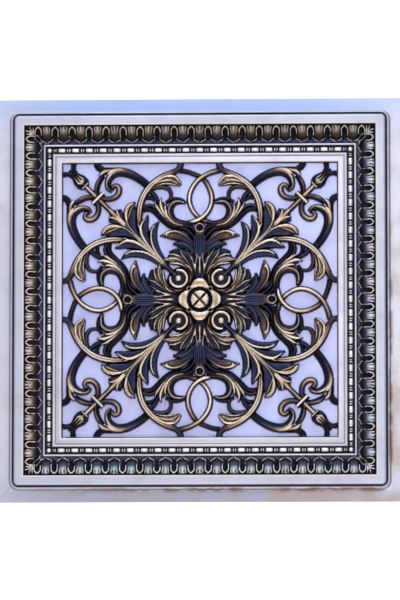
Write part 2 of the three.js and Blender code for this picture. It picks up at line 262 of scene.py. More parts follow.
def scroll_work(relief):
    """The ornament between the top axis and the diagonal on its right."""
    strand = relief.strand
    # Great arc, from the acanthus up to its neck on the frame.
    strand([(90.2, 112, 2.4, -2), (90.6, 122, 4.2, 0), (89.8, 135, 4.8), (87, 148, 4.9), (81.6, 160, 5),
            (74, 170, 5), (64.6, 178.4, 4.9), (54, 185, 4.7), (43, 190, 4.3), (34.4, 194, 3.9),
            (29.6, 199, 3.9, 0), (28.4, FIELD + 2, 4.6, -3.8)], twin, (0.6, 0.85, 0.9, 0.85, 0.6, 0.05))
    # Leaf at the head of the arc: a broad face with ridges.
    strand([(78, 168, 3, -1), (66, 175, 5, 0), (54, 179, 6.6, 0.5), (43, 179.4, 7.4, 0.5),
            (35, 176.4, 5.8, 0), (28.6, 171.4, 1.6, -1)], leaf, (0.2, 1, 1.3, 1.4, 1.3, 1.2))
    for stops in ([(70, 174.6, 1.2), (60, 180.8, 1.8), (48, 184.6, 2.2, 1.6),
                   (38, 184.2, 2.4, 1.6), (32, 179, 2.2), (28.4, 172.6, 1, 0.2)],
                  [(68, 173.4, 1), (58, 177, 1.4), (48, 178.8, 1.6),
                   (40, 177.6, 1.2), (35, 174.6, 0.6, 0.2)],
                  [(66, 170.4, 1), (57, 172.8, 1.5), (46, 173.4, 1.7),
                   (37, 171.6, 1.2, 0.6), (31.6, 170.8, 0.6, -0.8)]):
        strand(stops, cord, (0.7, 1, 1), 1.6, 0.4)
    strand([(72.6, 166.6, 2.6, 0), (62, 168.8, 3, 0), (52, 168.4, 3, 0), (45.4, 164.4, 2.8, -1),
            (43, 158, 2.4, -2), (43.6, 152, 2.2, -3)], cord, 0.35)
    # Open scroll beside the oval.
    strand([(11, 116.6, 2, -2), (22, 115.4, 2.8, -1), (32, 117, 3.6, -1), (40, 121.6, 4.4, 0),
            (44.2, 129.6, 5), (43.6, 138, 4.6), (38.6, 144.4, 4), (30.6, 146.2, 3, 0),
            (24, 145, 1.6, -2)], blade_right, (0.2, 0.9))
    strand([(50.6, 146, 2, -2), (43, 150.4, 2.6, -2), (34, 151, 2.8, -2), (25.6, 148.4, 2.6, -2),
            (21, 144, 1.4, -3)], cord, 0.1)
    # Its leaf, a broad face with three ridged tips.
    strand([(10, 112, 1.8, -3), (24, 111, 2.8, -2), (36, 113.6, 4.4, -1), (46, 120.6, 6, 0),
            (53, 130, 7, 0.4), (57.4, 139, 6.4, 0.4), (58.6, 146, 3.6, 0)], leaf,
            (0.1, 0.4, 0.9, 1.3, 1.3, 1.2))
    for stops in ([(24, 110.6, 1.4, -1), (38, 114.4, 1.8, 0.6), (46.6, 122, 2.1),
                   (50.6, 131, 2.4), (51.4, 138, 1.8), (50, 143, 0.6, 0.2)],
                  [(44, 117.6, 1.4, 0.6), (52, 127, 2), (57, 137, 2.6, 1.5),
                   (58.6, 145.6, 2.4, 1.5), (57.4, 153, 0.8, 0.2)],
                  [(48, 118, 1.2, 0.6), (56.6, 128, 1.8), (62.8, 137, 2.3),
                   (65.6, 142, 1.7), (66.6, 148, 0.6, 0.2)]):
        strand(stops, cord, (0.6, 1, 1), 1.8, 0.5)
    strand([(76, 164, 3, -1), (69.6, 158.6, 3.2, -1), (65, 152.6, 2.8, -1), (62.6, 146, 1.8, -1)], leaf,
            0.1)
    # Web from the leaf's foot to the great arc.
    strand([(14, 109, 1.6, -4), (30, 107, 2.4, -3), (44, 110.6, 3.2, -2), (55, 119, 3.6, -2),
            (63.4, 128, 3.6, -2), (71, 134, 3.4, -2), (80, 136, 3.4, -2), (88, 133.6, 3.4, -3)],
            blade_left, 0.12)
    strand([(62, 133, 1.8, -1), (68, 139, 2.2, 0), (75, 141.6, 2.2, 0), (84, 139.4, 2.4, -1)], cord, 0.3)
    strand([(66.4, 149, 1.6, -2), (73, 152.6, 2.4, -2), (83, 153, 2.8, -2)], cord, 0.05)
    # Stem from the arc to the corner curl.
    strand([(76, 170, 5.4, -2.6), (86, 178.4, 5.6, -2), (97, 185.4, 5.8, -1), (108, 190, 6.2, 0),
            (119, 191.6, 6.2), (128.6, 188.8, 5.8), (134.6, 182.6, 5), (137.4, 174.6, 4.2, 0.6),
            (136.4, 167.4, 3.4, 0), (131, 163.2, 2.4, -2)], blade_left, (0, 0.1, 0.6, 0.9, 0.5))
    # Its leaf, which reaches the frame.
    strand([(110, 195, 1.4, -1), (121, 195.6, 3), (131, 192.6, 3.8, 1.4), (137.6, 187.6, 1.8)], cord,
            (0.5, 1))
    strand([(126, 195.6, 2.4, 0), (135.6, 193.6, 3), (143.6, 191.6, 3.8), (149.6, 186.4, 1.6, 0.2)], cord,
            (0.4, 1))
    strand([(118, 196, 1.6, -2), (132, 195.8, 2.6, -2), (143.6, 195, 3.8, -2), (151, 198.6, 4.4, -3),
            (154.4, FIELD + 2, 4.8, -3.8)], leaf, 0.1)
    # Leaf and curl that the clip on the diagonal holds.
    strand([(153, 154, 2.6, -1), (154, 162, 3.4, -0.6), (153, 171, 3.8, -0.4), (149.6, 179, 3.8, -0.4),
            (144.6, 186, 3, -0.6)], blade_right, (0.2, 0.5, 0.6, 0.3))
    strand([(149.4, 154.4, 2.6, 0), (141, 151.6, 3.4, 0), (132.6, 151.6, 3.8, 0), (125, 155, 4, 0),
            (120.6, 161.6, 4, 0), (121, 168.6, 3.6, 0), (125.6, 171.8, 3, 0), (130, 169.6, 2.4, -0.6),
            (130.6, 165.4, 1.8, -1.4)], cord, (0.1, 0.5, 0.75, 0.5))
    acanthus(relief)
    axis_leaf(relief)
    # Half of the volute round the foot of the stem, with its flared end.
    turns = [math.radians(angle) for angle in range(76, 242, 14)]
    ring = [(VOLUTE[0] + VOLUTE_RADIUS * math.cos(t), VOLUTE[1] + VOLUTE_RADIUS * math.sin(t),
             min(2.0 + k * 0.6, 3.2)) for k, t in enumerate(turns)]
    strand(ring, cord, (1, 0.9, 0.85, 0.9, 0.8))
    strand([(31, 53, 1.2, -0.8), (21.6, 53, 2.4, 0.2), (13.8, 47.6, 2.8, 0.6), (10.4, 39, 2.4, 0.6),
            (9.6, 31, 1, -0.8)], blade_left, (0.3, 1, 1, 0.7, 0.4))
    strand([(17.4, 43.6, 0.8, -1), (14.2, 37.4, 1.8, -0.6), (13.4, 30.6, 1.8, -0.6), (15.6, 24.4, 1, -1)],
            cord, (0.2, 0.6, 0.5))


def acanthus(relief):
    """Lobes of the diagonal leaf, on this side of its stem: broad faces, and the ridges over them."""
    strand = relief.strand
    groove = relief.groove
    strand([(47, 49.4, 2, -1), (56, 62, 3.4, 0), (64.5, 75, 5, 0), (69, 88, 5.8, 0), (69.6, 100, 5.4, 0),
            (67, 109, 4.2, 0), (61.5, 116.5, 0.6, -2)], leaf, 0)
    strand([(56, 58, 2, -1), (68, 73, 3.6, 0), (77.6, 88, 5.2, 0), (81.6, 101, 5.8, 0),
            (81.4, 112, 4.4, 0), (79.4, 120, 2.8, 0), (77.6, 126.5, 0.6, -2)], leaf, 0)
    strand([(78, 80, 2, -1), (90, 95, 3.8, 0), (98, 108, 5.4, 0), (101, 121, 6, 0), (99.4, 132, 5, 0),
            (96, 139, 0.8, -2)], leaf, 0)
    strand([(98, 98, 2, 0), (108, 110, 3.6, 0), (115, 120, 4, 0), (118, 129, 3, 0),
            (118.6, 136, 0.6, -2)], leaf, 0)
    groove([(61, 66.6, 0.7, 0.5), (70, 79.4, 1.1, 1), (75.2, 92, 1.3, 1), (75.8, 104, 1.4, 1),
            (74.6, 113, 0.8, 0.8)], 4.5)
    groove([(70, 74.4, 0.7, 0.5), (82, 88.4, 1.1, 1), (91, 100, 1.3, 1), (94.4, 111, 1.4, 1),
            (94, 122, 1, 0.8)], 4.5)
    groove([(90, 91.6, 0.7, 0.5), (102, 106, 1.1, 1), (110, 116, 1.3, 1), (113.4, 126, 1.2, 1)], 4.5)
    strand([(50, 51, 1.4, 0.2), (58, 61, 1.7), (66, 72.4, 1.9), (71, 83.6, 2), (72.6, 95, 2.1),
            (71.6, 104, 1.9), (68, 111, 0.9, 0.2)], cord, 0.95)
    strand([(54, 55, 1.2, 0.2), (66, 68, 1.8), (76, 80, 2.3), (84, 92, 2.9), (88, 103, 3.3, 1.5),
            (87.2, 112, 2.5), (83.4, 118.6, 1.6), (79.8, 123.4, 0.6, 0.2)], cord, (0.7, 0.9, 1))
    strand([(86.6, 101, 2.2), (90, 108.4, 1.7, 1.4), (92.4, 113.4, 0.6, 0.2)], cord, 1)
    strand([(72, 74, 1.4, 0.2), (86, 90, 1.9), (97, 100.4, 2.3), (104.6, 110, 2.9, 1.5),
            (108.8, 121, 3.5, 1.6), (109.4, 131, 4.2, 1.6), (106.4, 139, 3.8, 1.4),
            (101.4, 144.4, 2.4, 0.8), (96.4, 146, 0.6, -2)], blade_right, (0.7, 0.9, 1, 1))
    strand([(107, 121, 1.6, 0.6), (104.4, 129.6, 2.7), (101.4, 137, 2.6), (97.6, 142, 0.8, -0.8)], blade,
            0.7)
    strand([(100, 101, 1.8, 0.2), (110, 112, 2.8, 0.8), (117.6, 121, 3.8), (121.6, 128.6, 3.6),
            (122.6, 136, 0.8, -0.8)], blade_right, 0.85)
    strand([(104, 104, 2, 0.2), (115, 115, 3.8), (124, 124, 5.4), (130.6, 130.6, 5),
            (135, 135, 1.4, -0.8)], blade, (0.4, 0.8, 0.9))
    strand([(108.6, 117, 1.8), (109.4, 127, 3, 1.6), (107.8, 135, 3.4, 1.7), (103.6, 141.4, 2.4),
            (98.6, 144.6, 0.8, -0.8)], cord, (0.9, 0.8, 0.7, 1))
    strand([(111, 113, 1.6), (118.4, 121.6, 2.8, 1.4), (122.6, 129.4, 3, 1.4), (123.2, 135.6, 0.8, -0.8)],
            cord, (1, 0.7, 0.9))
    strand([(116, 116, 1.8), (124.6, 125, 3.4, 1.6), (130.6, 131, 3.4, 1.6), (134.6, 134.8, 1, 0.2)],
            cord, (1, 0.6, 0.9))


def axis_leaf(relief):
    """Lobes of the leaf on the axis, on this side of it."""
    strand = relief.strand
    strand([(3, 64, 2.6, -1), (8, 77, 3.6, -1), (16.6, 87.6, 5, 0), (28, 94.4, 6, 0), (40, 95.6, 5.8, 0),
            (50, 96.2, 3.6, -1), (59, 96, 0.6, -3)], leaf, (0, 0, 0.1, 0.7, 1.2, 1.2))
    strand([(8, 40, 3, -1.6), (15, 54, 5.4, -1), (25, 66, 6.6, -0.8), (36, 71, 5, -1), (45, 71, 1.6, -2)],
            leaf, (0, 0.1, 0.3))
    strand([(13, 42, 2.4, -1), (23, 53, 5, -0.6), (35, 59.6, 5.6, -0.4), (46, 58.6, 3, -1)], leaf,
            (0, 0.5, 0.9))
    strand([(3, 60, 3, -1.6), (10, 73, 4.8, -1), (21, 81, 5.4, -1), (34, 82, 2.6, -2)], leaf, 0)
    strand([(10, 84, 1, 0), (19.6, 94.4, 1.6), (29, 100, 2.1, 1.6), (39, 102.2, 2.3, 1.6),
            (47.4, 100.8, 2.3), (54.4, 97.6, 1, 0.2)], cord, (0.4, 1))
    strand([(45, 101, 2), (49.6, 98.2, 2.6), (48.6, 95.4, 1.4, 0.2)], cord, 1)
    strand([(3, 78, 2, -1), (8.6, 91, 2.6, -0.6), (15.6, 100.6, 3.2, -0.4), (23.6, 105.6, 2.8, -0.4),
            (32, 105.4, 0.8, -2)], blade_left, (0, 0.4))
    strand([(3, 90, 1.6, -1), (7.6, 101, 2.2, 0), (13.6, 107.6, 2.2, 0), (20, 109, 0.9, -2)], blade_left,
            0.2)
    strand([(3, 56, 2.2, -1), (8.6, 69, 3, -0.6), (17, 79, 4.2, -0.4), (28, 84, 4.4, -0.4),
            (39.4, 83.4, 1.2, -2)], blade, (0, 0.15, 0.5))
    strand([(12, 66, 1.6, -2), (18, 73.6, 2.6, -2), (25, 78.4, 2.6, -2), (31, 76.6, 1, -3)], blade, 0.2)
    strand([(6, 38, 2.6, -1), (11, 52, 4.4, -0.4), (18, 63, 5.2, 0), (25, 71, 3.6, 0),
            (28.6, 76, 0.8, -2)], leaf, 0)
    strand([(12, 42, 2.4, -1), (20, 51, 4.6, 0), (30, 58.4, 6.2, 0.6), (40, 60.4, 5.6, 0.6),
            (48, 60.2, 3.4, 0), (53, 59.4, 0.8, -1)], leaf, (0.1, 0.7, 1.4, 1.6, 1.5))
    for stops in ([(12, 47, 0.7, 0), (20, 58.4, 1.2), (27, 68.4, 1.4), (29.6, 76, 0.6, 0.2)],
                  [(10, 56, 0.6, 0), (15.6, 66.6, 1.1), (21.6, 75.6, 0.6, 0.2)],
                  [(26, 62, 1, 0.6), (34, 66, 1.9), (41, 67.6, 1.7), (47, 66.4, 0.6, 0.2)],
                  [(22, 52, 1, 0.8), (31, 59.4, 1.5, 1.6), (42, 61.4, 1.7, 1.6),
                   (53, 59.6, 0.6, 0.2)],
                  [(19, 46.6, 1, 0.6), (28, 52.4, 1.7), (37, 54, 1.9),
                   (45.6, 54.6, 0.6, 0.2)]):
        strand(stops, cord, (0.6, 1, 1), 1.8, 0.5)


def oval_strands(relief):
    """The two strands that cross above and below the oval. They aren't mirror images."""
    strand = relief.strand
    over, under = 1.4, -2.4
    strand([(29, 193.4, 3.6, -1), (20, 191.4, 3.8, 0), (9, 186.8, 3.5, over), (-2, 179.4, 3.5, over),
            (-9.8, 170, 3.6, 0), (-14.4, 160, 3.6, 0), (-15.8, 149.6, 3.6, 0), (-13.4, 139.4, 3.5, 0),
            (-8.4, 130.4, 3.3, under), (-0.6, 122.6, 3.2, under), (8, 118, 3.4, under),
            (16, 116.6, 2.6, under)], cord, (0.5, 0.8, 0.95, 0.9, 0.4))
    strand([(-29, 193.4, 3.6, under), (-20, 192, 3.4, under), (-11, 189, 3.3, under),
            (0, 184.4, 3.3, under), (8.6, 176.6, 3.4, under), (14, 167, 3.5, -1), (17.4, 157, 3.6, 0),
            (17.8, 147, 3.6, 0), (14.8, 136.6, 3.6, 0), (8.8, 127.4, 3.5, over), (0.6, 120.8, 3.5, over),
            (-8, 117.2, 3.6, over), (-16, 116.4, 2.6, 0)], cord, (0.1, 0.4, 0.8, 0.9, 1))


def axis_work(relief):
    """Midrib, eye and side curls of the leaf on the axis."""
    strand = relief.strand
    groove = relief.groove
    strand([(0, 26, 9, -1), (0, 40, 7, -0.6), (0, 56, 5.6, 0), (0, 66, 7, 0.8), (0, 78, 9.4, 1),
            (0, 90, 9.6, 0.8), (0, 99, 7, 0), (0, 106, 6, -2)], leaf, 0)
    for streak in (-5, -1.6, 1.8, 5.2):
        strand([(streak * 0.6, 62, 0.4, 0), (streak, 78, 0.8), (streak * 0.9, 92, 0.8),
                (streak * 0.6, 101, 0.6, 0.6)], cord, (0, 0.12, 0.2, 0.7), 2.4, 0.6)
    strand([(0, 38, 2, 0.2), (0, 45, 2.6), (0, 52, 1.7), (0, 61, 0.5, 0)], cord, (0.4, 0.9, 1, 0.9), 1.8,
            0.5)
    relief.dome(0, EYE_LINE, 9, LEAF + 0.6, 1.6)
    for side in (-1, 1):
        strand([(side * 6.6, 41, 1.2, 0), (side * 7, 47, 2.5), (side * 9, 54, 1.6), (side * 12, 62, 1.1),
                (side * 13.6, 71, 0.5, 0)], cord, (0.4, 0.9, 1, 0.9), 1.6, 0.5)
        strand([(side * 6.8, 47, 2.2), (side * 6, 54, 1.4), (side * 4.6, 62, 0.9, 0.8),
                (side * 4.2, 70, 0.4, 0)], cord, (1, 0.9, 0.7), 1.6, 0.5)
        groove([(side * 7.8, 55, 1.2, 1), (side * 8.6, 61, 2, 1), (side * 9, 68, 1.2, 0.6)], 4.5)


def diagonal_work(relief):
    """What stands on the right-hand diagonal itself, from the volute's ball to the corner."""
    strand = relief.strand
    relief.dome(31.6, 31.7, 6.2, LEAF + 0.8, 0.85)
    relief.dome(*VOLUTE, 13, 7.6, 0, 8)
    # A low broad web round the volute, which the paint leaves black as painted shade of a deep recess.
    relief.dome(26, 26, 24, 4.8, 0)
    strand([(33, 33, 3.4, 0.6), (44, 44, 3.2, 0.8), (54, 54, 3.6, 1.2), (66, 66, 3.6, 1.4),
            (82, 82, 3, 1.2), (97, 97, 2.4, 0.6), (106, 106, 1.4, -1)], blade, (0.3, 0.5, 0.8, 0.9, 0.8))
    strand([(133, 133, 3.4, -1), (171, 171, 3.6, -0.8)], cord, (0.6, 0.85))
    strand([(144.2, 159.8, 3.5, 2.2), (159.8, 144.2, 3.5, 2.2)], cord, 0.9)
    strand([(167, 174.6, 1.6, 1.2), (174.6, 167, 1.6, 1.2)], cord, 1, 1.2, 0.3)
    strand([(169, 169, 5, -1), (173.6, 173.6, 9.4, -1), (179, 179, 9.6, -1), (185, 185, 6.6, -1.4),
            (190, 190, 4.6, -2), (195, 195, 0.8, -3)], leaf, 0.08)
    relief.dome(176.6, 176.6, 5.6, LEAF + 0.4, 0.75)
    for flip in (False, True):
        strokes = [
            ([(186, 189, 4, -2), (188.6, 196, 3.4, -2.6), (187.6, FIELD + 2, 4.4, -3.6)], leaf, 0.08),
            ([(173, 176.6, 1.2, 1.2), (174.6, 181, 1.9, 1.6), (179.6, 184.6, 1.6, 1.6),
              (184.6, 189.6, 0.7, 0.2)], cord, (1, 0.8, 0.3)),
            ([(188, 192, 0.8, -1), (190, 197, 1.2, -1), (189, 203, 0.7, -2)], cord, 0.2),
        ]
        for stops, section, rub_and_highlight in strokes:
            turned = [(b, a, w, h) if flip else (a, b, w, h) for a, b, w, h in stops]
            strand(turned, section, rub_and_highlight, 1.8, 0.6)
    strand([(173, 173, 1.2, 1.8), (177, 177, 1.8, 2.4), (182.6, 182.6, 1.4, 1.6), (188, 188, 0.6, 0.2)],
            cord, (1, 0.9, 0.3), 1.6, 0.4)


def flower(relief):
    """Four petals on the axes, loops between them, and a domed button with a cross."""
    r = np.hypot(relief.x, relief.y)
    turn = np.arctan2(relief.y, relief.x)
    lobe = np.abs(np.cos(2.0 * turn))
    reach = 23.4 + 9.8 * lobe ** 1.8
    level = quarter_round((reach - r) / 2.4)
    swell = 0.9 + 0.1 * np.cos((r - 29.0) / 4.0)
    petals = np.where((r < reach) & (r > BUTTON_RADIUS + 3.0), (LEAF + 1.0) * level * swell, 0.0)
    petals *= smooth_step((r - 17.2) / 2.0)
    # The petals' shine is weaker across their middles, so they show darker there.
    petal_shine = 0.92 - 0.26 * np.exp(-((r - 25.0) / 3.0) ** 2) * smooth_step((lobe - 0.4) / 0.4)
    relief.overlay(petals, petal_shine * smooth_step((level - 0.7) / 0.3) * smooth_step((r - 18.4) / 1.6))
    relief.overlay(np.where(r < 19.0, 6.0, 0.0), np.zeros_like(r))
    for cx, cy in ((16, 16), (-16, 16), (-16, -16), (16, -16)):
        from_loop = np.hypot(relief.x - cx, relief.y - cy)
        sunk = relief.height - 4.0 * smooth_step((2.6 - from_loop) / 1.0)
        relief.height = np.maximum(sunk, np.minimum(relief.height, 3.0))
        loop = np.sqrt(np.maximum(1 - ((from_loop - 3.2) / 1.5) ** 2, 0))
        relief.overlay((LEAF + 1.0) * loop, 0.95 * smooth_step((loop - 0.5) / 0.4))
    rim = np.exp(-((r - 16.0) / 0.9) ** 2)
    relief.overlay(9.0 * rim, np.zeros_like(r))
    button = (LEAF + 3.2 - 0.012 * r ** 2) * quarter_round((BUTTON_RADIUS - r) / 1.6)
    across = np.minimum(np.abs(relief.x - relief.y), np.abs(relief.x + relief.y)) / math.sqrt(2.0)
    cut = np.exp(-(across / 1.3) ** 2) * smooth_step((14.0 - r) / 1.4)
    button -= 3.0 * cut * (button > 3)
    relief.overlay(button, 0.85 * smooth_step((button - 8.4) / 2.0) * (1.0 - cut))


def square_distance(x, y):
    """Distance from the centre along the nearer axis, rounded at the corners outside the egg band."""
    q = square(x, y)
    c = RIM_OUTER - RIM_CORNER_RADIUS
    ax, ay = np.maximum(np.abs(x) - c, 0), np.maximum(np.abs(y) - c, 0)
    rounded = np.where((ax > 0) & (ay > 0), c + np.hypot(ax, ay), q)
    return np.where(q > PLATEAU_INNER + 4, rounded, q)


def frame_height(x, y):
    """Height of the frame's plain members, with sharp mitres and a rounded rim."""
    q = square_distance(x, y)
    profile = [
        (0, SHEET), (FIELD - 1.2, SHEET), (FIELD + 0.2, 7.2), (FIELD + 1.2, 7.9), (213.4, 8.3),
        (214.2, 7.0), (215.6, 6.8), (216.4, 8.6), (217.6, 9.2), (218.8, 8.6), (BEAD_INNER, BEAD_FLOOR),
        (BEAD_OUTER, BEAD_FLOOR), (230.0, 9.2), (231.4, 9.8), (232.8, 9.2), (BAND_INNER, BAND_FOOT),
        (BAND_INNER + 3, BAND_FOOT), (BAND_OUTER - 6, BAND_HEIGHT - 1.2), (BAND_OUTER, BAND_HEIGHT),
        (PLATEAU_INNER - 0.4, TOP - 1.0), (PLATEAU_INNER + 0.6, TOP - 0.1), (PLATEAU_INNER + 2, TOP),
        (PLATEAU_OUTER - 1.4, TOP), (PLATEAU_OUTER - 0.2, TOP - 0.8), (276.4, 13.4), (277.8, 9.8),
        (278.6, 10.8), (279.4, 11.9), (280.6, 12.1), (281.8, 11.2), (RIM_OUTER, 7.0),
        (RIM_OUTER + 0.7, SHEET + 0.4), (RIM_OUTER + 1.6, SHEET), (HALF, SHEET),
    ]
    return np.interp(q, [p[0] for p in profile], [p[1] for p in profile])


def band_cell():
    """One repeat of the egg-and-dart band, with the egg in the middle and a half loop at each side.

    Heights are above the band's cove. x runs along the band and y from its outer end inwards.
    """
    line = np.arange(-EGG_PITCH / 2, EGG_PITCH / 2 + 0.1, 0.2)
    depth = np.arange(-0.6, 28, 0.2)
    cell = Relief(*np.meshgrid(line, depth))
    cell.strand([(0, -0.4, 6.5, 1.8), (0, 4, 6.6, 3.2), (0, 10, 7.2, 3.9), (0, 14.5, 7.8, 3.8),
                 (0, 18, 7.8, 2.4), (0, 20.6, 6, 1), (0, 22.6, 2, 0.3)], cord, 0.55, 3, 0)
    for side in (-1, 0, 1):
        cell.strand([(side * 4.9, 0, 0.8, 2.6), (side * 4.8, 3, 1.3, 3.7), (side * 4.2, 7, 1.5, 4.2),
                     (side * 3.4, 12, 0.9, 4.1)], cord, (1, 0.5), 1.2, 0)
    for side in (-1, 1):
        loop = side * EGG_PITCH / 2
        leg = [(4.3, 16.5, 0.5, 0.8), (4.6, 10.5, 1.2, 2.4), (4.2, 5.4, 1.6, 3.6)]
        bow = [(loop - a, b, w, h) for a, b, w, h in leg] + [(loop, 1.7, 1.6, 4)]
        bow += [(loop + a, b, w, h) for a, b, w, h in reversed(leg)]
        cell.strand(bow, cord, 1, 1.1, 0)
        cell.strand([(loop, 9, 0.5, 0.5), (loop, 14, 0.9, 1), (loop, 20, 1.6, 1.2), (loop, 24, 4, 1),
                     (loop, 26.4, 7, 0.8)], cord, 0, 1.2, 0)
        cell.strand([(side * 9, 18.4, 0.6, 1), (side * 8.4, 20.4, 1, 2.6), (side * 5.2, 22.4, 1.1, 3),
                     (side * 2, 24.2, 1.1, 3.2), (0, 26.4, 0.9, 3)], cord, 1, 0.9, 0)
    slot = np.minimum(np.abs(cell.x - EGG_PITCH / 2), np.abs(cell.x + EGG_PITCH / 2))
    inside = smooth_step((3.4 - slot) / 0.8) * smooth_step((cell.y - 3.4) / 1.2)
    inside *= smooth_step((19 - cell.y) / 5)
    cell.height -= 2.2 * inside * (cell.height < 1.6)
    return cell


def corner_cell(relief):
    """The leaf on the mitre of the band, on both sides of the right-hand diagonal."""
    c = BAND_OUTER
    for flip in (False, True):
        strokes = [
            [(c - 6.8, c - 1, 1.1, 3.2), (c - 7.6, c - 5, 1.5, 3.6), (c - 10.5, c - 9.5, 1.8, 3.2)],
            [(c - 11.8, c - 1.4, 1.1, 3.2), (c - 11.6, c - 7, 1.7, 3.6), (c - 12.6, c - 12, 2, 3)],
            [(c - 13, c - 16, 1.4, 2), (c - 15.5, c - 20, 1, 2.4), (c - 21, c - 23.5, 1, 3),
             (c - 25.6, c - 25.6, 0.9, 3)],
        ]
        for stops in strokes:
            turned = [(b, a, w, h) if flip else (a, b, w, h) for a, b, w, h in stops]
            relief.strand(turned, cord, 0.8, 0.8, 0)


def between(grid, col, row):
    """Values of a grid at places between its columns and rows."""
    c0 = np.clip(col.astype(int), 0, grid.shape[1] - 2)
    r0 = np.clip(row.astype(int), 0, grid.shape[0] - 2)
    fx = np.clip(col - c0, 0, 1)
    fy = np.clip(row - r0, 0, 1)
    return ((grid[r0, c0] * (1 - fx) + grid[r0, c0 + 1] * fx) * (1 - fy)
            + (grid[r0 + 1, c0] * (1 - fx) + grid[r0 + 1, c0 + 1] * fx) * fy)


def field_at(field, x, y):
    """Values of a grid over the whole panel at scattered points, in millimetres."""
    step = 2 * HALF / (field.shape[0] - 1)
    return between(field, (x + HALF) / step, (y + HALF) / step)


def band_rows(relief):
    """Adds the egg band and the bead row to a relief, in the sector round the top axis."""
    x, y = relief.x, relief.y
    band = (y > BAND_INNER - 1) & (y <= BAND_OUTER) & (np.abs(x) < LAST_LOOP + 5.6) & (np.abs(x) <= y)
    along = (x[band] + EGG_PITCH / 2) % EGG_PITCH - EGG_PITCH / 2
    cell = band_cell()
    col = (along - cell.x[0, 0]) / cell.step
    row = (BAND_OUTER - y[band] - cell.y[0, 0]) / cell.step
    relief.height[band] = between(cell.height, col, row)
    relief.shine[band] = between(cell.shine, col, row)
    beads = (np.abs(y - BEAD_LINE) < 3.6) & (np.abs(x) <= y)
    along = (x[beads] + BEAD_PITCH / 2) % BEAD_PITCH - BEAD_PITCH / 2
    across = np.abs(y[beads] - BEAD_LINE)
    end = np.maximum(np.abs(along) - (BEAD_LENGTH / 2 - 1.6), 0)
    bead = np.sqrt(np.maximum(1 - (across / 3.1) ** 2 - (end / 1.6) ** 2, 0))
    gap = np.abs(np.abs(along) - BEAD_PITCH / 2 + 1.65)
    reel = 0.86 * np.sqrt(np.maximum(1 - (across / 2.7) ** 2 - (gap / 1.15) ** 2, 0))
    corner = np.hypot(np.abs(x[beads]) - BEAD_LINE, y[beads] - BEAD_LINE)
    knob = np.sqrt(np.maximum(1 - (corner / 3.4) ** 2, 0))
    plain = np.where(np.abs(x[beads]) > BEAD_LINE - 6.2, 0.0, np.maximum(bead, reel))
    relief.height[beads] = BEAD_RISE * np.maximum(plain, knob)
    relief.shine[beads] = smooth_step((np.maximum(bead * (plain > 0), knob) - 0.3) / 0.4)


def blur(field, sigma):
    """Gaussian blur by separable sums, for distances in grid steps."""
    reach = max(1, int(3 * sigma + 0.5))
    weights = np.exp(-0.5 * (np.arange(-reach, reach + 1) / sigma) ** 2)
    weights /= weights.sum()
    for axis in (0, 1):
        padded = np.pad(field, [(reach, reach) if a == axis else (0, 0) for a in (0, 1)], mode="edge")
        total = np.zeros_like(field)
        for k, weight in enumerate(weights):
            part = [slice(None), slice(None)]
            part[axis] = slice(k, k + field.shape[axis])
            total += weight * padded[tuple(part)]
        field = total
    return field


def all_round(relief):
    """Repeats a relief's sector on all four sides."""
    height, shine = relief.height, relief.shine
    for _ in range(3):
        height, shine = np.rot90(height), np.rot90(shine)
        relief.overlay(height, shine)


def panel_relief():
    """The whole face as a height field, and the carved height and the shine of its ridges."""
    x, y = square_grid(HALF, GRID_STEP)
    work = Relief(x, y, SCROLL)
    scroll_work(work)
    work.overlay(work.height[:, ::-1], work.shine[:, ::-1])
    axis_work(work)
    diagonal_work(work)
    oval_strands(work)
    work.dish(0, EYE_LINE, 6.2, 5.0)
    work.groove([(103, 103, 0.6, 0.4), (113, 113, 0.9, 0.8), (122, 122, 0.6, 0.3)], 3.0)
    all_round(work)
    flower(work)
    rows = Relief(x, y)
    band_rows(rows)
    corner_cell(rows)
    all_round(rows)
    ground = frame_height(x, y)
    field = square(x, y) < FIELD + 1
    carved = np.where(field, work.height, 0.0)
    face = np.where(field, np.maximum(ground, SHEET + np.minimum(carved, TOP - SHEET - 1)),
                    ground + rows.height)
    shine = np.where(field, work.shine, rows.shine)
    return x, y, np.minimum(face, TOP), carved, np.clip(shine, 0, 1)


def sheet_back(face, x, y):
    """Depth of the sheet's back, a softer copy of the face that leaves a wall between them."""
    reach = round(2.1 / GRID_STEP)
    shifts = [(a, b) for a in (-reach, 0, reach) for b in (-reach, 0, reach)]
    low = np.minimum.reduce([np.roll(face, shift, (0, 1)) for shift in shifts])
    back = np.maximum(blur(low, 1.6 / GRID_STEP) - THICKNESS - 0.5, 0.0)
    return np.where(square(x, y) > RIM_OUTER - 1.0, 0.0, back)


def stitches(front, rear, marks, flip):
    """Triangles between one side of the face and the same side of the coarser back."""
    made = []
    for k in range(len(marks) - 1):
        for j in range(marks[k], marks[k + 1]):
            made.append((front[j], rear[k], front[j + 1]))
        made.append((front[marks[k + 1]], rear[k], rear[k + 1]))
    made = np.array(made)
    return made[:, ::-1] if flip else made


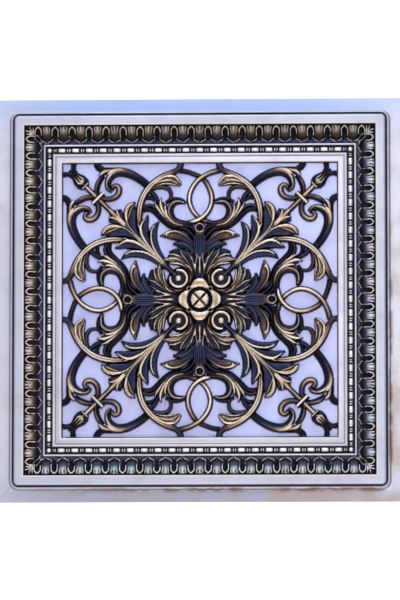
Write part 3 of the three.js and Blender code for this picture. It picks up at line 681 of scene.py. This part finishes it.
def closed_sheet(x, y, face):
    """Points in metres and triangles of the closed sheet, with its face towards -Y."""
    n = face.shape[0]
    marks = np.arange(0, n, BACK_STRIDE)
    pick = np.ix_(marks, marks)
    back = sheet_back(face, x, y)[pick]
    points = np.concatenate([
        np.stack([x, -face, y], -1).reshape(-1, 3),
        np.stack([x[pick], -back, y[pick]], -1).reshape(-1, 3),
    ]) * MM
    front = np.arange(n * n).reshape(n, n)
    rear = np.arange(len(marks) ** 2).reshape(len(marks), -1) + n * n
    triangles = []
    for ids, turned in ((front, False), (rear, True)):
        a, b, c, d = ids[:-1, :-1], ids[:-1, 1:], ids[1:, 1:], ids[1:, :-1]
        for corners in ((a, b, c), (a, c, d)):
            ring = np.stack(corners[::-1] if turned else corners, -1)
            triangles.append(ring.reshape(-1, 3))
    triangles.append(stitches(front[0], rear[0], marks, False))
    triangles.append(stitches(front[-1], rear[-1], marks, True))
    triangles.append(stitches(front[:, 0], rear[:, 0], marks, True))
    triangles.append(stitches(front[:, -1], rear[:, -1], marks, False))
    return points, np.concatenate(triangles)


def placed(name, data):
    """A new object in the scene."""
    made = bpy.data.objects.new(name, data)
    bpy.context.scene.collection.objects.link(made)
    return made


def mesh_from(name, points, triangles):
    mesh = bpy.data.meshes.new(name)
    mesh.vertices.add(len(points))
    mesh.vertices.foreach_set("co", points.ravel())
    mesh.loops.add(triangles.size)
    mesh.loops.foreach_set("vertex_index", triangles.ravel().astype(np.int32))
    mesh.polygons.add(len(triangles))
    mesh.polygons.foreach_set("loop_start", np.arange(0, triangles.size, 3, dtype=np.int32))
    mesh.update(calc_edges=True)
    return mesh


def thinned(mesh, target):
    """The same surface with fewer triangles, which stay dense where it bends."""
    body = placed(mesh.name, mesh)
    fewer = body.modifiers.new("fewer", "DECIMATE")
    fewer.ratio = target / len(mesh.polygons)
    fewer.use_collapse_triangulate = True
    view = bpy.context.evaluated_depsgraph_get()
    result = bpy.data.meshes.new_from_object(body.evaluated_get(view))
    bpy.data.objects.remove(body)
    bpy.data.meshes.remove(mesh)
    return result


def linear(*srgb):
    """Linear colour from sRGB values between 0 and 255."""
    shares = [value / 255.0 for value in srgb]
    return tuple(s / 12.92 if s <= 0.04045 else ((s + 0.055) / 1.055) ** 2.4 for s in shares)


def blend(colour, over, share):
    """Mixes a colour field with another colour or field, by a field of shares from 0 to 1."""
    share = np.clip(share, 0.0, 1.0)[..., None]
    return colour * (1.0 - share) + np.asarray(over) * share


def line(q, centre, half):
    """A soft line along the frame, at one distance from the panel's centre."""
    return smooth_step(1.6 - 1.6 * np.abs(q - centre) / half)


def paint_field(x, y, face, carved, shine):
    """The antiqued paint all over the face, and the same paint without what darkens it.

    It is dark where the wash collects in the valleys and, as painted shade, down the steep sides; it is
    rubbed to cream on the ridges, partly as painted highlight, and has a painted steel sheen on high
    faces.
    """
    q = square(x, y)
    rise, run = np.gradient(face, GRID_STEP)
    steep = np.hypot(rise, run)
    fine = face - blur(face, 1.1 / GRID_STEP)
    broad = face - blur(face, 5.0 / GRID_STEP)
    proud = face - SHEET
    ornament = np.where(q < FIELD, smooth_step((carved - 1.0) / 1.0), 0.0)
    band = smooth_step((q - BAND_INNER + 0.4) / 0.8) * smooth_step((BAND_OUTER + 1.4 - q) / 0.8)
    beads = smooth_step((q - BEAD_INNER + 0.4) / 0.8) * smooth_step((BEAD_OUTER + 0.6 - q) / 0.8)
    blank = np.zeros(face.shape + (3,))
    # Black of the antique wash in the hollows, used also as painted shade down steep sides and on low
    # parts.
    wash_and_shade = blank + linear(9, 8, 15)
    rounded = square_distance(x, y)
    calm = blank + linear(188, 192, 207)
    calm = blend(calm, linear(206, 206, 217), smooth_step((BAND_INNER + 0.5 - q) / 0.6))
    calm = blend(calm, linear(191, 197, 238), smooth_step((FIELD + 0.3 - q) / 0.6))
    calm = blend(calm, linear(205, 206, 216), smooth_step((rounded - RIM_OUTER - 0.4) / 2.0))
    # Ornament: black wash in its valleys with painted shade down its sides and low parts, a painted steel
    # sheen on its high faces, brown to cream on ridges as rubbed paint with painted highlights.
    ridge = shine ** 1.4
    body = blend(wash_and_shade, linear(24, 28, 51), smooth_step((proud - 4.4) / 2.8))
    # Painted steel-blue sheen on the high, rounded faces.
    steel_sheen = smooth_step((proud - 6.2) / 2.4) * smooth_step((fine + 0.02) / 0.12)
    body = blend(body, linear(62, 75, 114), 0.66 * steel_sheen)
    # Brown to cream on the ridges: rubbed paint, partly painted highlight.
    body = blend(body, linear(86, 60, 46), smooth_step((ridge - 0.02) / 0.3) * 0.9)
    body = blend(body, linear(182, 152, 122), smooth_step((ridge - 0.3) / 0.3))
    body = blend(body, linear(244, 232, 212), smooth_step((ridge - 0.58) / 0.3) * 0.9)
    # Painted shade down steep sides, and wash with painted shade in broad and fine hollows.
    body = blend(body, wash_and_shade, smooth_step((steep - 0.6) / 0.8) * 0.98)
    body = blend(body, wash_and_shade, smooth_step((-broad - 0.4) / 1.2))
    body = blend(body, wash_and_shade, smooth_step((-fine - 0.08) / 0.24) * 0.9)
    colour = blend(calm, body, ornament)
    # Egg band: taupe eggs with pale fingers, black slots, blue between the points. The fingers and edges
    # are pale partly as painted highlight, the eggs darken inwards as painted shade, and the colours
    # shift by side as painted reflection and shade.
    depth = BAND_OUTER - q
    eggs = blend(wash_and_shade, linear(66, 68, 112), smooth_step((depth - 21.6) / 1.5))
    # Painted shade: the eggs' taupe fades to black towards their inner ends, where they turn down.
    taupe = smooth_step((broad - 0.1) / 0.9) * (1.0 - 0.85 * smooth_step((depth - 8.0) / 7.0))
    # Painted reflection: taupe towards the left and top, blue-grey towards the right and bottom.
    sky_reflection_side = smooth_step((x - y) / 60.0 + 0.5)
    eggs = blend(eggs, blend(blank + linear(124, 112, 104), linear(112, 124, 142), sky_reflection_side),
                 taupe * smooth_step((20.5 - depth) / 1.5))
    fingers = smooth_step((shine - 0.2) / 0.4) * smooth_step((13 - depth) / 6)
    eggs = blend(eggs, blend(blank + linear(200, 190, 180), linear(200, 212, 228), sky_reflection_side), fingers)
    eggs = blend(eggs, linear(240, 232, 220), smooth_step((shine - 0.6) / 0.35))
    # Wash and painted shade in the band's hollows and down its steep sides.
    eggs = blend(eggs, wash_and_shade, smooth_step((-fine - 0.05) / 0.2) * 0.9 * smooth_step((22.5 - depth) / 1.5))
    eggs = blend(eggs, wash_and_shade, smooth_step((steep - 1.4) / 1.2) * 0.75)
    # Painted shade: the egg band is darker towards the top.
    shade = 1.0 - 0.28 * smooth_step((y - np.abs(x)) / 60.0 + 0.5)
    colour = blend(colour, eggs * shade[..., None], band)
    # Bead row: pale beads on a floor dark with the wash and painted shade.
    row = blend(wash_and_shade, linear(240, 238, 240), smooth_step((face - BEAD_FLOOR - 1.0) / 1.4))
    colour = blend(colour, row, beads)
    # Dark lines where the frame's members meet, from the wash in these creases and painted shade; a pale
    # painted highlight on the edge beside the egg band, and a pale line at the field's edge.
    crease_darkening = [
        (q, BEAD_OUTER + 0.6, 1.1, 1.0), (q, BAND_INNER + 0.2, 1.3, 1.0), (q, BEAD_INNER, 0.9, 0.9),
        (q, 214.9, 0.9, 0.85), (q, FIELD - 0.6, 1.3, 0.9), (q, BAND_OUTER + 1.0, 1.2, 1.0),
        (rounded, PLATEAU_OUTER + 2.2, 2.2, 1.0), (rounded, RIM_OUTER + 0.3, 1.0, 0.6),
    ]
    dark = np.maximum.reduce([share * line(far, at, half) for far, at, half, share in crease_darkening])
    colour = blend(colour, linear(226, 212, 196), 0.8 * line(q, BAND_OUTER + 2.8, 1.2))
    colour = blend(colour, linear(232, 222, 206), 0.7 * line(q, FIELD + 1.5, 1.2))
    colour = blend(colour, linear(26, 25, 46), dark * (q > FIELD - 2))
    return colour, calm


class Shader:
    """Short ways to add nodes to one material."""

    def __init__(self, name):
        self.material = bpy.data.materials.new(name)
        self.material.use_nodes = True
        self.tree = self.material.node_tree
        self.surface = self.tree.nodes["Principled BSDF"]
        self.position = self.node("ShaderNodeTexCoord").outputs["Object"]

    def node(self, kind, **settings):
        made = self.tree.nodes.new(kind)
        for key, value in settings.items():
            setattr(made, key, value)
        return made

    def link(self, source, socket):
        if hasattr(source, "is_output"):
            self.tree.links.new(source, socket)
        elif isinstance(source, (tuple, list)) and len(source) == 3 and socket.type == "RGBA":
            socket.default_value = (*source, 1.0)
        else:
            socket.default_value = source

    def math(self, operation, a, b=0.0):
        made = self.node("ShaderNodeMath", operation=operation)
        self.link(a, made.inputs[0])
        self.link(b, made.inputs[1])
        return made.outputs[0]

    def times(self, a, b):
        return self.math("MULTIPLY", a, b)

    def mix(self, share, a, b, mode="MIX"):
        made = self.node("ShaderNodeMix", data_type="RGBA", blend_type=mode, clamp_factor=True)
        self.link(share, made.inputs["Factor"])
        # The colour sockets of this node share their names with others, so they are taken by number.
        self.link(a, made.inputs[6])
        self.link(b, made.inputs[7])
        return made.outputs[2]

    def noise(self, scale, detail, offset):
        """Noise from 0 to 1, whose cells are about 1000 / scale millimetres wide."""
        moved = self.node("ShaderNodeMapping")
        self.link(self.position, moved.inputs["Vector"])
        moved.inputs["Location"].default_value = (offset, offset * 0.7, offset * 1.3)
        made = self.node("ShaderNodeTexNoise")
        self.link(moved.outputs["Vector"], made.inputs["Vector"])
        made.inputs["Scale"].default_value = scale
        made.inputs["Detail"].default_value = detail
        made.inputs["Roughness"].default_value = 0.55
        return made.outputs["Fac"]

    def ramp(self, value, low, high):
        """Goes smoothly from 0 at low to 1 at high."""
        made = self.node("ShaderNodeMapRange", interpolation_type="SMOOTHSTEP")
        self.link(value, made.inputs["Value"])
        made.inputs["From Min"].default_value = low
        made.inputs["From Max"].default_value = high
        return made.outputs["Result"]


def antiqued_silver():
    s = Shader("antiqued silver")
    paint = s.node("ShaderNodeAttribute", attribute_name="paint").outputs["Color"]
    cloud = s.noise(9.0, 4.0, 0.0)
    drift = s.noise(28.0, 4.0, 3.0)
    fleck = s.noise(420.0, 2.0, 7.0)
    colour = s.mix(s.times(s.ramp(cloud, 0.35, 0.75), 0.35), paint,
                   s.mix(1.0, paint, linear(236, 226, 214), "MULTIPLY"))
    colour = s.mix(s.times(s.ramp(drift, 0.45, 0.75), 0.3), colour,
                   s.mix(1.0, colour, linear(208, 206, 214), "MULTIPLY"))

    parts = s.node("ShaderNodeSeparateXYZ")
    s.link(s.position, parts.inputs["Vector"])
    across, forward, up = (parts.outputs[axis] for axis in ("X", "Y", "Z"))
    reach = s.math("MAXIMUM", s.math("ABSOLUTE", across), s.math("ABSOLUTE", up))
    ahead = s.ramp(s.times(forward, -1.0), 0.0005, 0.0013)

    def beyond_rim(low, high):
        """Goes from 0 to 1 between two distances from the rim's outer foot, in millimetres."""
        return s.ramp(reach, (RIM_OUTER + low) * MM, (RIM_OUTER + high) * MM)

    # The flange is blue along the top and greyer along the bottom, as painted reflection of the cool
    # light from above.
    flange = s.times(ahead, beyond_rim(0.6, 3.0))
    aside = s.times(s.math("ABSOLUTE", across), 0.35)
    for sign, tint in ((1.0, linear(166, 184, 229)), (-1.0, linear(163, 171, 193))):
        share = s.ramp(s.math("SUBTRACT", s.times(up, sign), aside), 0.12, 0.26)
        colour = s.mix(s.times(share, flange), colour, tint)
    # Brown smears outside the rim, most of all low down and at the right.
    low_right = s.math("SUBTRACT", s.times(across, 1.3), s.times(up, 1.6))
    smear = s.ramp(s.math("ADD", low_right, s.times(cloud, 0.9)), 0.35, 1.15)
    smear = s.times(smear, s.ramp(drift, 0.36, 0.62))
    brown = s.times(s.times(ahead, beyond_rim(-3.6, 2.4)), smear)
    colour = s.mix(s.times(brown, 0.6), colour, linear(176, 156, 138))
    # Rusty stain right beside the rim, in broken runs.
    beside = s.math("SUBTRACT", beyond_rim(-3.6, -1.1), beyond_rim(0.4, 6.4))
    runs = s.ramp(s.noise(34.0, 5.0, 5.0), 0.44, 0.58)
    stain = s.times(s.times(ahead, beside), s.times(runs, s.ramp(low_right, 0.0, 0.45)))
    colour = s.mix(s.times(stain, 0.75), colour, linear(112, 82, 70))
    speck = s.times(s.ramp(fleck, 0.68, 0.76), 0.3)
    colour = s.mix(speck, colour, linear(130, 116, 110))

    s.link(colour, s.surface.inputs["Base Color"])
    s.surface.inputs["Metallic"].default_value = 0.5
    s.surface.inputs["Specular IOR Level"].default_value = 0.2
    rough = s.node("ShaderNodeMapRange")
    s.link(drift, rough.inputs["Value"])
    rough.inputs["To Min"].default_value = 0.34
    rough.inputs["To Max"].default_value = 0.5
    s.link(rough.outputs["Result"], s.surface.inputs["Roughness"])
    grain = s.node("ShaderNodeBump")
    grain.inputs["Strength"].default_value = 0.12
    grain.inputs["Distance"].default_value = 0.0004
    s.link(s.noise(900.0, 3.0, 11.0), grain.inputs["Height"])
    s.link(grain.outputs["Normal"], s.surface.inputs["Normal"])
    return s.material


def plain_material(name, colour, rough):
    material = bpy.data.materials.new(name)
    material.use_nodes = True
    surface = material.node_tree.nodes["Principled BSDF"]
    surface.inputs["Base Color"].default_value = (*colour, 1.0)
    surface.inputs["Roughness"].default_value = rough
    return material


def corners_and_normals(mesh):
    """The vertex of each corner, and the normal of each triangle."""
    corners = np.empty(len(mesh.loops), np.int32)
    mesh.loops.foreach_get("vertex_index", corners)
    flat = np.empty(len(mesh.polygons) * 3)
    mesh.polygons.foreach_get("normal", flat)
    return corners, flat.reshape(-1, 3)


def set_normals(mesh, place, front, face):
    """Gives each corner the face's own slope, except on level triangles, which stay level."""
    rise, run = np.gradient(face, 2 * HALF / (face.shape[0] - 1))
    px, py = place[:, 0], place[:, 2]
    slopes = np.stack([-field_at(run, px, py), -np.ones(len(px)), -field_at(rise, px, py)], -1)
    slopes /= np.linalg.norm(slopes, axis=1, keepdims=True)
    corners, flat = corners_and_normals(mesh)
    flat = np.repeat(flat, 3, axis=0)
    wanted = slopes[corners]
    upright = np.abs(flat[:, 1]) > LEVEL_NORMAL
    flat[upright] = np.sign(flat[upright]) * (0.0, 1.0, 0.0)
    level = upright | ~front[corners]
    agree = (wanted * flat).sum(axis=1) > 0.5
    chosen = np.where((~level & agree)[:, None], wanted, flat)
    mesh.normals_split_custom_set(chosen.tolist())


def paint_corners(mesh, place, front, x, y, face, carved, shine):
    """Stores the paint at every corner. Level plain triangles take the paint without dark lines.

    The corners of large triangles take the paint a little nearer to the triangle's middle.
    """
    colour, calm = paint_field(x, y, face, carved, shine)
    corners, flat = corners_and_normals(mesh)
    ends = place[corners].reshape(-1, 3, 3)
    middle = ends.mean(axis=1)
    inward = middle[:, None] - ends
    pull = 0.4 * smooth_step((np.linalg.norm(inward, axis=-1) - 2.0) / 3.0)
    spots = (ends + inward * pull[..., None]).reshape(-1, 3)
    differs = field_at(np.abs(colour - calm).sum(axis=-1), middle[:, 0], middle[:, 2])
    plain = np.repeat((differs < 0.05) & (np.abs(flat[:, 1]) > LEVEL_PAINT), 3)
    px, py = spots[:, 0], spots[:, 2]
    back = linear(150, 150, 158)
    shades = np.ones((len(corners), 4), np.float32)
    for k in range(3):
        full = field_at(colour[..., k], px, py)
        shades[:, k] = np.where(plain, field_at(calm[..., k], px, py), full)
        shades[:, k] = np.where(front[corners], shades[:, k], back[k])
    layer = mesh.attributes.new("paint", "FLOAT_COLOR", "CORNER")
    layer.data.foreach_set("color", shades.ravel())


def make_panel():
    x, y, face, carved, shine = panel_relief()
    points, triangles = closed_sheet(x, y, face)
    mesh = thinned(mesh_from("formed_panel", points, triangles), TRIANGLES)
    place = np.empty(len(mesh.vertices) * 3)
    mesh.vertices.foreach_get("co", place)
    place = place.reshape(-1, 3)
    place = np.clip(place, LOW * MM, HIGH * MM)
    mesh.vertices.foreach_set("co", place.ravel())
    mesh.update()
    place = place / MM
    px, py = place[:, 0], place[:, 2]
    front = -place[:, 1] > 0.5 * (field_at(face, px, py) + field_at(sheet_back(face, x, y), px, py))
    paint_corners(mesh, place, front, x, y, face, carved, shine)
    panel = placed("formed_panel", mesh)
    mesh.shade_smooth()
    set_normals(mesh, place, front, face)
    mesh.materials.append(antiqued_silver())
    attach(panel, "root")
    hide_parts(NODE)


def quad(name, corners, material):
    mesh = bpy.data.meshes.new(name)
    mesh.from_pydata(corners, [], [(0, 1, 2, 3)])
    mesh.update()
    mesh.materials.append(material)
    placed(name, mesh)


def area_light(name, place, size, power, colour):
    lamp = bpy.data.lights.new(name, "AREA")
    lamp.shape = "RECTANGLE"
    lamp.size, lamp.size_y = size
    lamp.energy = power
    lamp.color = colour
    made = placed(name, lamp)
    made.location = place
    direction = -made.location
    made.rotation_euler = direction.to_track_quat("-Z", "Y").to_euler()


def make_stage():
    pale = plain_material("pale stage", (0.9, 0.9, 0.9), 0.9)
    screen = plain_material("lit screen", (0.9, 0.9, 0.9), 0.9)
    glow = screen.node_tree.nodes["Principled BSDF"].inputs
    glow["Emission Color"].default_value = (1.0, 1.0, 1.0, 1.0)
    glow["Emission Strength"].default_value = 0.8
    wide, behind, floor, high = 14, 12, -1.9, 12
    quad("floor", [(-wide, -wide, floor), (wide, -wide, floor), (wide, behind, floor),
                   (-wide, behind, floor)], pale)
    quad("backdrop", [(-wide, behind, floor), (wide, behind, floor), (wide, behind, high),
                      (-wide, behind, high)], screen)
    world = bpy.data.worlds.new("studio")
    bpy.context.scene.world = world
    world.use_nodes = True
    sky = world.node_tree.nodes["Background"].inputs
    sky["Color"].default_value = (0.86, 0.88, 1.0, 1.0)
    sky["Strength"].default_value = 0.55
    area_light("sky", (0.0, -1.2, 2.4), (3.0, 1.6), 64, (0.74, 0.84, 1.0))
    area_light("warm", (0.3, -1.3, -1.7), (2.4, 0.8), 20, (1.0, 0.76, 0.54))
    area_light("front", (0.6, -3.4, 0.8), (2.0, 2.0), 26, (1.0, 0.98, 0.96))
    area_light("behind", (0.0, 1.6, 2.2), (3.0, 1.0), 30, (1.0, 1.0, 1.0))


def make_camera():
    lens = bpy.data.cameras.new("camera")
    camera = placed("camera", lens)
    distance = 8.0
    below = math.radians(6.0)
    right = math.radians(2.5)
    camera.location = (distance * math.sin(right), -distance * math.cos(right) * math.cos(below),
                       -distance * math.sin(below))
    aim = -camera.location
    camera.rotation_euler = aim.to_track_quat("-Z", "Y").to_euler()
    lens.sensor_fit = "VERTICAL"
    lens.sensor_height = 36.0
    lens.lens = lens.sensor_height * distance / (PHOTO_HEIGHT * PIXEL * MM)
    lens.clip_end = 40.0
    bpy.context.scene.camera = camera


make_panel()
make_stage()
make_camera()
bpy.context.scene.view_settings.view_transform = "Standard"
